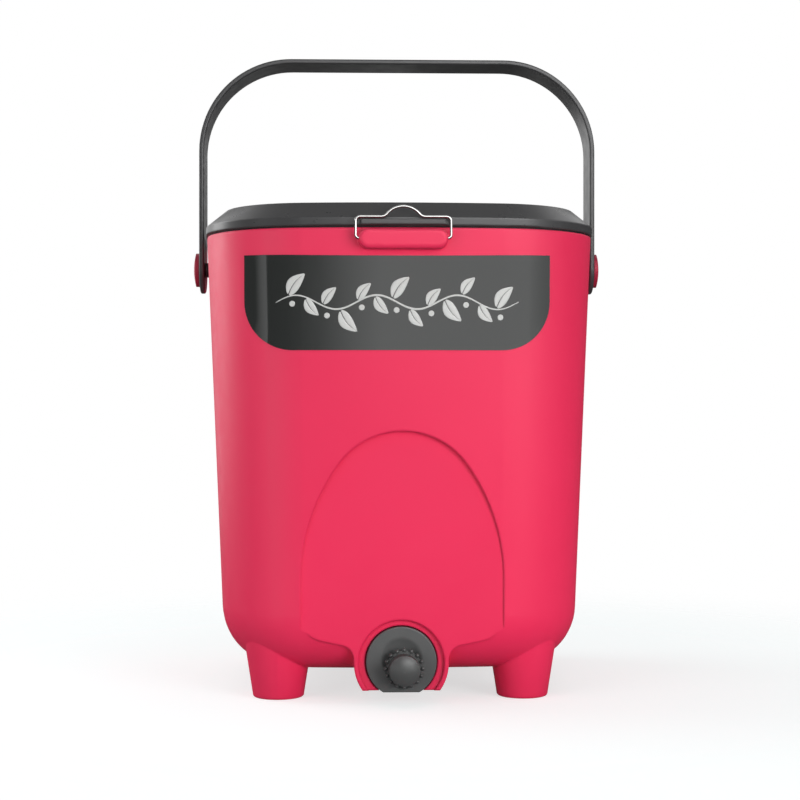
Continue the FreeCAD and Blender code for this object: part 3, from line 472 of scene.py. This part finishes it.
# Plain rolled spring steel of the clips: greyer and duller than the wire.
CLIP_STEEL = WorkedSteel("spring_steel_rolled", "#a9a9a8", "#8e8e8d", 0.34, 0.06, 0.6, Trace.ACROSS_STRIP)
# Off-white acetal of the plug: a waxy gloss with faint turning rings.
PLUG_ACETAL = TurnedPlastic("acetal_turned_off_white", "#d9d6cf", "#cbc8c1", 0.8, (1.1, 0.0, 24.0), 0.32)


def grid_quads(
    patches: int, rows: int, columns: int, close_rows: bool = False, close_columns: bool = False
) -> np.ndarray:
    """Corner indices of the quads of equal grids that lie one after another in a point list.

    Args:
        patches: how many grids there are.
        rows: points along the first parameter.
        columns: points along the second parameter.
        close_rows: whether the last row joins the first.
        close_columns: whether the last column joins the first.

    Returns:
        One row of four indices for each quad.
    """
    row, column = np.meshgrid(
        np.arange(rows if close_rows else rows - 1),
        np.arange(columns if close_columns else columns - 1),
        indexing="ij",
    )
    below, beside = (row + 1) % rows, (column + 1) % columns
    here, under = row * columns, below * columns
    quad = np.stack([here + column, here + beside, under + beside, under + column], axis=-1).reshape(-1, 4)
    return (quad[None] + (np.arange(patches) * rows * columns)[:, None, None]).reshape(-1, 4)


def mesh_object(name: str, points_mm: np.ndarray, quads: np.ndarray) -> bpy.types.Object:
    """Put a surface into a mesh object at the origin.

    Args:
        name: name of the object.
        points_mm: points in the frame, in millimetres, last axis x, y, z.
        quads: four point indices for each face.

    Returns:
        The linked object.
    """
    mesh = bpy.data.meshes.new(name)
    mesh.from_pydata(points_mm.reshape(-1, 3) * MM, [], quads)
    mesh.polygons.foreach_set("use_smooth", np.ones(len(mesh.polygons), dtype=bool))
    mesh.update()
    made = bpy.data.objects.new(name, mesh)
    bpy.context.scene.collection.objects.link(made)
    return made


def coat(piece: bpy.types.Object, finish: Finish) -> None:
    """Fill every material slot of a piece with one finish, which is built on its first use.

    Args:
        piece: the piece to coat.
        finish: its finish.
    """
    ready = bpy.data.materials.get(finish.name) or finish.material()
    if not piece.material_slots:
        piece.data.materials.append(ready)
    for place in piece.material_slots:
        place.material = ready


@dataclass
class SubAssembly:
    """Pieces that belong together: the CAD nodes that it dresses, and the pieces that it adds."""

    def coats(self) -> dict[str, Finish]:
        """Finish of each CAD node."""
        raise NotImplementedError

    def build(self) -> list[bpy.types.Object]:
        """New pieces of this group; none unless a group makes some."""
        return []

    def dress(self) -> None:
        """Give every CAD node of the group its finish."""
        for node, finish in self.coats().items():
            coat(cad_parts[node], finish)
            LOG.info("%s: %s", node, finish.name)


@dataclass
class Bucket(SubAssembly):
    """The red bucket with its feet, arch, tap housing and lugs."""

    def coats(self) -> dict[str, Finish]:
        """Finish of each CAD node."""
        return {"bucket": RED_POLYPROPYLENE}


@dataclass
class Lid(SubAssembly):
    """The charcoal lid and its seal."""

    def coats(self) -> dict[str, Finish]:
        """Finish of each CAD node."""
        return {"lid_shell": CHARCOAL_LID, "lid_seal": SEAL_RUBBER}


@dataclass
class Latches(SubAssembly):
    """The two wire latches."""

    def coats(self) -> dict[str, Finish]:
        """Finish of each CAD node."""
        return {"front_latch_wire": LATCH_WIRE, "rear_latch_wire": LATCH_WIRE}


@dataclass
class Handle(SubAssembly):
    """The strap with its two pivots."""

    def coats(self) -> dict[str, Finish]:
        """Finish of each CAD node."""
        return {
            "handle_strap": CHARCOAL_STRAP,
            "left_pivot_pin": RED_PIN,
            "right_pivot_pin": RED_PIN,
            "left_pivot_bush": TAP_BLACK,
            "right_pivot_bush": TAP_BLACK,
            "left_pivot_clip": CLIP_STEEL,
            "right_pivot_clip": CLIP_STEEL,
        }


@dataclass
class Strainer(SubAssembly):
    """The raised sieve inside the bucket."""

    def coats(self) -> dict[str, Finish]:
        """Finish of each CAD node."""
        return {"strainer": STRAINER_PLASTIC}


@dataclass
class Label(SubAssembly):
    """The dark film on the front wall and the vine printed on it.

    The first sizes are those of the wall that the film lies on. Pairs are, in order: the stem's two ends, the
    wave's swing and length, the share of the stem's width at its ends and the share that it gains between,
    the bare length before the first leaf and after the last, a leaf's length and width, and a berry's place
    beside a leaf's root and above it. leaf_size is the mean, the change and the beat of the leaves' scale.
    """

    rim_mm: float = 309.5
    draft: float = math.radians(2.4)
    face_inset_mm: float = 0.3
    bow_mm: float = 622.0
    bow_centre_mm: float = 487.0
    corner_mm: float = 74.0
    corner_reach_mm: float = 57.93
    lift_mm: float = 0.03
    ink_mm: float = 0.05
    stem_mm: tuple[float, float] = (-82.0, 75.0)
    middle_mm: float = 261.5
    wave_mm: tuple[float, float] = (4.5, 52.0)
    stem_width_mm: float = 1.3
    stem_taper: tuple[float, float] = (0.35, 0.65)
    stem_points: int = 160
    bare_ends_mm: tuple[float, float] = (8.0, 4.0)
    leaf_mm: tuple[float, float] = (17.5, 8.6)
    leaf_pitch_mm: float = 11.2
    leaf_lean: float = math.radians(52.0)
    leaf_size: tuple[float, float, float] = (0.86, 0.14, 2.1)
    leaf_span: tuple[float, float] = (0.03, 0.985)
    leaf_skew: float = 0.8
    leaf_fullness: float = 0.85
    leaf_tip_mm: float = 0.12
    leaf_least_mm: float = 0.05
    leaf_curl_mm: float = 1.6
    leaf_foot: float = 0.7
    leaf_points: tuple[int, int] = (22, 5)
    midrib_mm: float = 0.55
    berry_mm: float = 1.9
    berry_set_mm: tuple[float, float] = (2.6, -5.2)
    berry_core: float = 0.04
    berry_points: tuple[int, int] = (4, 24)

    def coats(self) -> dict[str, Finish]:
        """Finish of each CAD node."""
        return {"front_label": LABEL_FILM}

    def on_film(self, across: np.ndarray, up: np.ndarray) -> np.ndarray:
        """Lay flat points on the outer face of the film.

        The wall's inset grows downwards with the draft. Between the corners the plan is an arc of the bow
        radius about a centre behind the wall; past the point where the two arcs touch it is an arc of the
        corner radius.

        Args:
            across: x of the points.
            up: z of the points.

        Returns:
            Points in the frame, in millimetres.
        """
        inset = self.face_inset_mm + (self.rim_mm - up) * math.tan(self.draft)
        gap = math.hypot(self.corner_reach_mm, self.bow_centre_mm + self.corner_reach_mm)
        touch = (self.bow_mm - inset) * self.corner_reach_mm / gap
        middle = self.bow_centre_mm - np.sqrt((self.bow_mm - inset) ** 2 - across**2)
        turned = np.clip(np.abs(across) - self.corner_reach_mm, 0.0, None)
        corner = -self.corner_reach_mm - np.sqrt((self.corner_mm - inset) ** 2 - turned**2)
        depth = np.where(np.abs(across) <= touch, middle, corner) - self.lift_mm
        return np.stack([across, depth, up], axis=-1)

    def stem_height(self, across: np.ndarray) -> np.ndarray:
        """Height of the stem's middle line: a sine about the label's middle."""
        swing, length = self.wave_mm
        return self.middle_mm + swing * np.sin(2 * np.pi * (across - self.stem_mm[0]) / length)

    def stem(self) -> tuple[np.ndarray, np.ndarray]:
        """Surface of the stem: the sine carried sideways by a width that tapers to both ends.

        Returns:
            Points in the frame, and quads.
        """
        along = np.linspace(0.0, 1.0, self.stem_points)[:, None]
        side = np.array([-0.5, 0.0, 0.5])[None, :]
        across = self.stem_mm[0] + along * (self.stem_mm[1] - self.stem_mm[0])
        end, swell = self.stem_taper
        width = self.stem_width_mm * (end + swell * np.sqrt(np.sin(np.pi * along)))
        up = self.stem_height(across) + side * width
        return self.on_film(across + 0.0 * side, up), grid_quads(1, self.stem_points, side.size)

    def leaf_roots(self) -> np.ndarray:
        """Places of the leaves along the stem, at one pitch between its bare ends."""
        first, last = self.bare_ends_mm
        return np.arange(self.stem_mm[0] + first, self.stem_mm[1] - last, self.leaf_pitch_mm)

    def leaves(self) -> tuple[np.ndarray, np.ndarray]:
        """Surface of the leaves, two halves each, on either side of the stem in turn.

        A half leaf runs from a straight midrib to an edge whose distance is a skewed sine of the length, with
        a gap left open along the midrib; each is leaned, curled a little and set down on the stem.

        Returns:
            Points in the frame, and quads.
        """
        length, width = self.leaf_mm
        rows, columns = self.leaf_points
        mean, change, beat = self.leaf_size
        roots = self.leaf_roots()
        turn = np.where(np.arange(len(roots)) % 2 == 0, 1.0, -1.0)
        size = mean + change * np.cos(np.arange(len(roots)) * beat)
        root = np.repeat(roots, 2)[:, None, None]
        side = np.repeat(turn, 2)[:, None, None]
        scale = np.repeat(size, 2)[:, None, None]
        half = np.tile([1.0, -1.0], len(roots))[:, None, None]
        along = np.linspace(*self.leaf_span, rows)[None, :, None]
        out = np.linspace(0.0, 1.0, columns)[None, None, :]
        edge = width / 2 * np.sin(np.pi * along**self.leaf_skew) ** self.leaf_fullness + self.leaf_tip_mm
        gap = self.midrib_mm / 2 * (1.0 - along)
        run = length * along + 0.0 * out
        breadth = np.clip(edge - gap, self.leaf_least_mm, None)
        reach = half * (gap + out * breadth) + self.leaf_curl_mm * np.sin(np.pi * along)
        lean = self.leaf_lean
        across = root + scale * (run * np.cos(lean) - reach * np.sin(lean))
        rise = scale * (run * np.sin(lean) + reach * np.cos(lean))
        foot = self.stem_width_mm * self.leaf_foot
        points = self.on_film(across, self.stem_height(root) + side * (rise + foot))
        return points, grid_quads(2 * len(roots), rows, columns)

    def berries(self) -> tuple[np.ndarray, np.ndarray]:
        """Surface of the berries: discs of radius times angle, opposite every second leaf.

        Returns:
            Points in the frame, and quads.
        """
        rows, columns = self.berry_points
        beside, above = self.berry_set_mm
        root = self.leaf_roots()[::2, None, None] + beside
        radius = self.berry_mm * np.linspace(self.berry_core, 1.0, rows)[None, :, None]
        angle = np.linspace(0.0, 2 * np.pi, columns, endpoint=False)[None, None, :]
        across = root + radius * np.cos(angle)
        up = self.stem_height(root) + above + radius * np.sin(angle)
        return self.on_film(across, up), grid_quads(len(root), rows, columns, close_columns=True)

    def build(self) -> list[bpy.types.Object]:
        """Print the vine: stem, leaves and berries as one thin coat of ink on the film.

        Returns:
            The printed piece.
        """
        parts = [self.stem(), self.leaves(), self.berries()]
        counts = np.cumsum([0] + [points.reshape(-1, 3).shape[0] for points, _ in parts])
        points = np.concatenate([points.reshape(-1, 3) for points, _ in parts])
        quads = np.concatenate([quads + start for (_, quads), start in zip(parts, counts)])
        vine = mesh_object("label_print", points, quads)
        turn_outwards(vine)
        thick = vine.modifiers.new("ink", "SOLIDIFY")
        thick.thickness = self.ink_mm * MM
        thick.offset = 1.0
        coat(vine, LABEL_INK)
        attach(vine, Body.BIN.value)
        return [vine]


def turn_outwards(piece: bpy.types.Object) -> None:
    """Turn every face of a print so that it looks away from the wall, which is towards negative y.

    Args:
        piece: the print, whose faces all have four corners.
    """
    mesh = piece.data
    normals = np.empty(len(mesh.polygons) * 3, dtype=np.float32)
    mesh.polygons.foreach_get("normal", normals)
    wrong = normals.reshape(-1, 3)[:, 1] > 0
    corners = np.empty(len(mesh.loops), dtype=np.int32)
    mesh.loops.foreach_get("vertex_index", corners)
    quads = corners.reshape(-1, 4)
    quads[wrong] = quads[wrong][:, ::-1]
    places = np.empty(len(mesh.vertices) * 3, dtype=np.float32)
    mesh.vertices.foreach_get("co", places)
    mesh.clear_geometry()
    mesh.from_pydata(places.reshape(-1, 3), [], quads)
    mesh.polygons.foreach_set("use_smooth", np.ones(len(mesh.polygons), dtype=bool))
    mesh.update()


@dataclass
class Tap(SubAssembly):
    """The drain tap: body, seals, nut, turning plug and knob, with a pale rim round the knob's dome whose
    colour is a painted highlight.
    """

    axis_mm: tuple[float, float] = (1.1, 24.0)
    rim_front_mm: float = -132.6
    rim_radius_mm: float = 9.3
    rim_wire_mm: float = 0.45
    rim_points: tuple[int, int] = (96, 12)

    def coats(self) -> dict[str, Finish]:
        """Finish of each CAD node."""
        return {
            "tap_body": TAP_BLACK,
            "tap_nut": TAP_BLACK,
            "tap_gasket": SEAL_RUBBER,
            "tap_washer": SEAL_RUBBER,
            "plug_o_ring_front": SEAL_RUBBER,
            "plug_o_ring_rear": SEAL_RUBBER,
            "plug_circlip": CLIP_STEEL,
            "valve_plug": PLUG_ACETAL,
            "tap_knob": KNOB_BLACK,
        }

    def build(self) -> list[bpy.types.Object]:
        """Make the rim, whose pale grey is a painted highlight on the dome's edge: a circle of the wire's
        radius carried round the knob's axis.

        Returns:
            The rim.
        """
        rows, columns = self.rim_points
        around = np.linspace(0.0, 2 * np.pi, rows, endpoint=False)[:, None]
        wire = np.linspace(0.0, 2 * np.pi, columns, endpoint=False)[None, :]
        reach = self.rim_radius_mm + self.rim_wire_mm * np.cos(wire)
        points = np.stack(
            [
                self.axis_mm[0] + reach * np.cos(around),
                self.rim_front_mm - self.rim_wire_mm * np.sin(wire) + 0.0 * around,
                self.axis_mm[1] + reach * np.sin(around),
            ],
            axis=-1,
        )
        rim = mesh_object("knob_rim", points, grid_quads(1, rows, columns, True, True))
        # The rim's pale grey is a painted highlight, not a lighter part of the knob.
        coat(rim, KNOB_RIM_PAINTED_HIGHLIGHT)
        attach(rim, Body.VALVE.value)
        return [rim]


@dataclass(frozen=True)
class Softbox:
    """A square soft lamp."""

    name: str
    place: tuple[float, float, float]
    aim: tuple[float, float, float]
    size: float
    power: float
    mirrored: bool = True

    def build(self) -> None:
        """Hang the lamp and turn it to its aim; one that isn't mirrored leaves no highlight on the bin."""
        lamp = bpy.data.lights.new(self.name, "AREA")
        lamp.shape = "SQUARE"
        lamp.size = self.size
        lamp.energy = self.power
        hung = bpy.data.objects.new(self.name, lamp)
        hung.location = self.place
        hung.visible_glossy = self.mirrored
        ray = Vector(self.aim) - Vector(self.place)
        hung.rotation_euler = ray.to_track_quat("-Z", "Y").to_euler()
        bpy.context.scene.collection.objects.link(hung)


@dataclass(frozen=True)
class Flag:
    """A curved card round the bin that only reflections see.

    Its stops are pairs of an angle and a tone: degrees from the front, counted towards the left, and the
    card's tone there, where nought is black, one is as white as the room and more is a light.
    """

    name: str
    stops: tuple[tuple[float, float], ...]
    radius: float = 1.15
    low: float = -0.2
    high: float = 1.5
    rows: int = 64

    def build(self) -> None:
        """Stand the card: an arc about the bin times a height, with its tone running along the arc."""
        angles, tones = np.array(sorted(self.stops)).T
        turn = np.linspace(angles[0], angles[-1], self.rows)[:, None]
        up = np.array([self.low, self.high])[None, :]
        ahead = np.radians(turn) + 0.0 * up
        points = np.stack(
            [-self.radius * np.sin(ahead), -self.radius * np.cos(ahead), up + 0.0 * turn], axis=-1
        )
        stage_card(self.name, points, np.repeat(np.interp(turn[:, 0], angles, tones), 2))


@dataclass(frozen=True)
class Board:
    """A level dark board that only reflections see."""

    name: str
    half: float
    height: float
    tone: float

    def build(self) -> None:
        """Lay the board: a square at one height and of one tone."""
        across, along = np.meshgrid([-self.half, self.half], [-self.half, self.half], indexing="ij")
        points = np.stack([across, along, 0.0 * across + self.height], axis=-1)
        stage_card(self.name, points, np.full(4, self.tone))


@dataclass(frozen=True)
class BarnDoor:
    """An upright board before a lamp that nothing sees: it only holds light off what stands high."""

    name: str
    place: tuple[float, float]
    low: float
    half: float = 0.9
    high: float = 1.4

    def build(self) -> None:
        """Stand the board: a rectangle square to the line from the bin to its place."""
        ahead = np.array(self.place) / np.hypot(*self.place)
        side, up = np.meshgrid([-self.half, self.half], [self.low, self.high], indexing="ij")
        points = np.stack(
            [self.place[0] - side * ahead[1], self.place[1] + side * ahead[0], up], axis=-1
        )
        door = stage_card(self.name, points, np.zeros(4))
        door.visible_glossy = False
        door.visible_shadow = True


def stage_card(name: str, points: np.ndarray, tones: np.ndarray) -> bpy.types.Object:
    """Make a stage card that is seen by reflections alone.

    Args:
        name: name of the card.
        points: a grid of points, two in each row, in metres.
        tones: tone of each point.

    Returns:
        The card.
    """
    card = mesh_object(name, points / MM, grid_quads(1, *points.shape[:2]))
    card.data.attributes.new("tone", "FLOAT", "POINT").data.foreach_set("value", tones)
    material, tree = blank_material(name)
    tone = add_node(tree, "ShaderNodeAttribute", attribute_name="tone")
    glow = add_node(tree, "ShaderNodeEmission", {"Strength": tone.outputs["Fac"]})
    add_node(tree, "ShaderNodeOutputMaterial", {"Surface": glow.outputs["Emission"]})
    card.data.materials.append(material)
    card.visible_camera = False
    card.visible_diffuse = False
    card.visible_shadow = False
    return card


@dataclass
class Studio:
    """Floor, soft lamps, cards, white surroundings and camera."""

    floor_radius: float = 2.2
    floor_hole: float = 0.001
    floor_points: int = 64
    floor_colour: str = "#b2bfbf"
    floor_glow: float = 0.66
    floor_fade: tuple[float, float] = (0.24, 0.65)
    room_light: float = 0.25
    camera_place: tuple[float, float, float] = (-0.038, -1.2248, 0.196)
    camera_turn: float = -0.031
    focal_mm: float = 76.5
    sensor_mm: float = 36.0
    shift: tuple[float, float] = (0.0041, 0.005)
    lamps: tuple[Softbox, ...] = (
        Softbox("key_softbox", (1.12, -1.48, 0.3), (0.0, 0.0, 0.18), 1.0, 24.6, mirrored=False),
        Softbox("fill_softbox", (-1.1, -1.1, 0.3), (0.0, 0.0, 0.12), 1.0, 7.6, mirrored=False),
        Softbox("edge_softbox", (-1.3, 0.45, 0.7), (0.0, 0.0, 0.22), 0.9, 9.0),
        Softbox("top_softbox", (0.0, 0.1, 1.9), (0.0, 0.0, 0.2), 1.4, 5.0),
    )
    cards: tuple[Flag | Board | BarnDoor, ...] = (
        Flag("front_left_card", ((2.0, 1.0), (6.0, 0.75), (14.0, 0.14), (30.0, 0.04), (49.6, 0.01))),
        Flag(
            "left_card",
            ((50.0, 0.75), (56.0, 0.5), (62.0, 0.02), (74.0, 0.03), (88.0, 0.6), (102.0, 1.0)),
        ),
        Flag(
            "right_card",
            ((-45.0, 0.9), (-73.0, 0.35), (-82.0, 0.06), (-165.0, 0.04), (-178.5, 0.1)),
            high=0.7,
        ),
        Flag("highlight_card", ((8.0, 3.0), (-8.0, 5.0), (-40.0, 5.5), (-50.0, 3.0)), 0.95, 0.41, 0.98),
        Flag("rear_low_card", ((150.0, 0.03), (170.0, 0.06), (181.0, 0.15)), low=-0.3, high=0.4),
        BarnDoor("key_door", (0.56, -0.8), 0.455),
        Board("ceiling_board", 0.8, 1.5, 0.28),
        Board("floor_board", 1.1, 0.0006, 0.06),
    )

    def seen_directly(self, tree: bpy.types.NodeTree) -> bpy.types.NodeSocket:
        """One for camera, mirror and see-through rays, nought for the rays that light the object.

        Args:
            tree: the node tree that takes the nodes.

        Returns:
            The socket with that value.
        """
        path = add_node(tree, "ShaderNodeLightPath")
        sharp = add_node(
            tree,
            "ShaderNodeMath",
            {0: path.outputs["Is Glossy Ray"], 1: path.outputs["Is Transmission Ray"]},
            operation="ADD",
        )
        seen = add_node(
            tree,
            "ShaderNodeMath",
            {0: path.outputs["Is Camera Ray"], 1: sharp.outputs[0]},
            operation="ADD",
            use_clamp=True,
        )
        return seen.outputs[0]

    def build_room(self) -> None:
        """White surroundings for the eye and for reflections, and a plain soft light for everything else."""
        world = bpy.data.worlds.new("room")
        world.use_nodes = True
        tree = world.node_tree
        tree.nodes.clear()
        level = add_node(
            tree,
            "ShaderNodeMapRange",
            {"Value": self.seen_directly(tree), "To Min": self.room_light, "To Max": 1.0},
        )
        sky = add_node(
            tree, "ShaderNodeBackground", {"Color": (1, 1, 1, 1), "Strength": level.outputs["Result"]}
        )
        add_node(tree, "ShaderNodeOutputWorld", {"Surface": sky.outputs["Background"]})
        bpy.context.scene.world = world

    def build_floor(self) -> None:
        """Lay the floor: a disc of radius times angle in pale paint that holds the shadow.

        A little glow brings the paint up to white, and the disc thins out to nothing away from the bin, so
        that it runs into the white surroundings without an edge.
        """
        angle = np.linspace(0.0, 2 * np.pi, self.floor_points, endpoint=False)[None, :]
        reach = np.array([self.floor_hole, self.floor_radius])[:, None] / MM
        points = np.stack([reach * np.cos(angle), reach * np.sin(angle), 0.0 * reach * angle], axis=-1)
        quads = grid_quads(1, reach.size, self.floor_points, close_columns=True)
        floor = mesh_object("floor", points, quads[:, ::-1])
        material, tree = blank_material("floor_paint_pale")
        paint = add_node(tree, "ShaderNodeBsdfDiffuse", {"Color": linear(self.floor_colour)})
        level = add_node(
            tree, "ShaderNodeMath", {0: self.seen_directly(tree), 1: self.floor_glow}, operation="MULTIPLY"
        )
        glow = add_node(tree, "ShaderNodeEmission", {"Strength": level.outputs[0]})
        both = add_node(tree, "ShaderNodeAddShader", {0: paint.outputs["BSDF"], 1: glow.outputs["Emission"]})
        away = add_node(tree, "ShaderNodeVectorMath", {0: object_place(tree)}, operation="LENGTH")
        fade = add_node(
            tree,
            "ShaderNodeMapRange",
            {"Value": away.outputs["Value"], "From Min": self.floor_fade[0], "From Max": self.floor_fade[1]},
            interpolation_type="SMOOTHSTEP",
        )
        clear = add_node(tree, "ShaderNodeBsdfTransparent")
        mixed = add_node(
            tree,
            "ShaderNodeMixShader",
            {0: fade.outputs["Result"], 1: both.outputs["Shader"], 2: clear.outputs["BSDF"]},
        )
        add_node(tree, "ShaderNodeOutputMaterial", {"Surface": mixed.outputs["Shader"]})
        floor.data.materials.append(material)

    def build_camera(self) -> None:
        """Stand the camera level in front of the bin, a little to the left."""
        lens = bpy.data.cameras.new("camera")
        lens.lens = self.focal_mm
        lens.sensor_width = self.sensor_mm
        lens.shift_x, lens.shift_y = self.shift
        camera = bpy.data.objects.new("camera", lens)
        camera.location = self.camera_place
        camera.rotation_euler = (math.pi / 2, 0.0, self.camera_turn)
        bpy.context.scene.collection.objects.link(camera)
        bpy.context.scene.camera = camera

    def build(self) -> None:
        """Set up the whole studio."""
        bpy.context.scene.view_settings.view_transform = "Standard"
        self.build_room()
        self.build_floor()
        for lamp in self.lamps:
            lamp.build()
        for card in self.cards:
            card.build()
        self.build_camera()


def main() -> None:
    """Build and dress the groups in order, then set up the studio."""
    logging.basicConfig(level=logging.INFO, format="%(name)s %(message)s")
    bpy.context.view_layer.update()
    for group in (Bucket(), Label(), Lid(), Latches(), Handle(), Strainer(), Tap()):
        group.dress()
        for piece in group.build():
            LOG.info("%s: %d faces added", piece.name, len(piece.data.polygons))
    Studio().build()


if __name__ == "__main__":
    main()
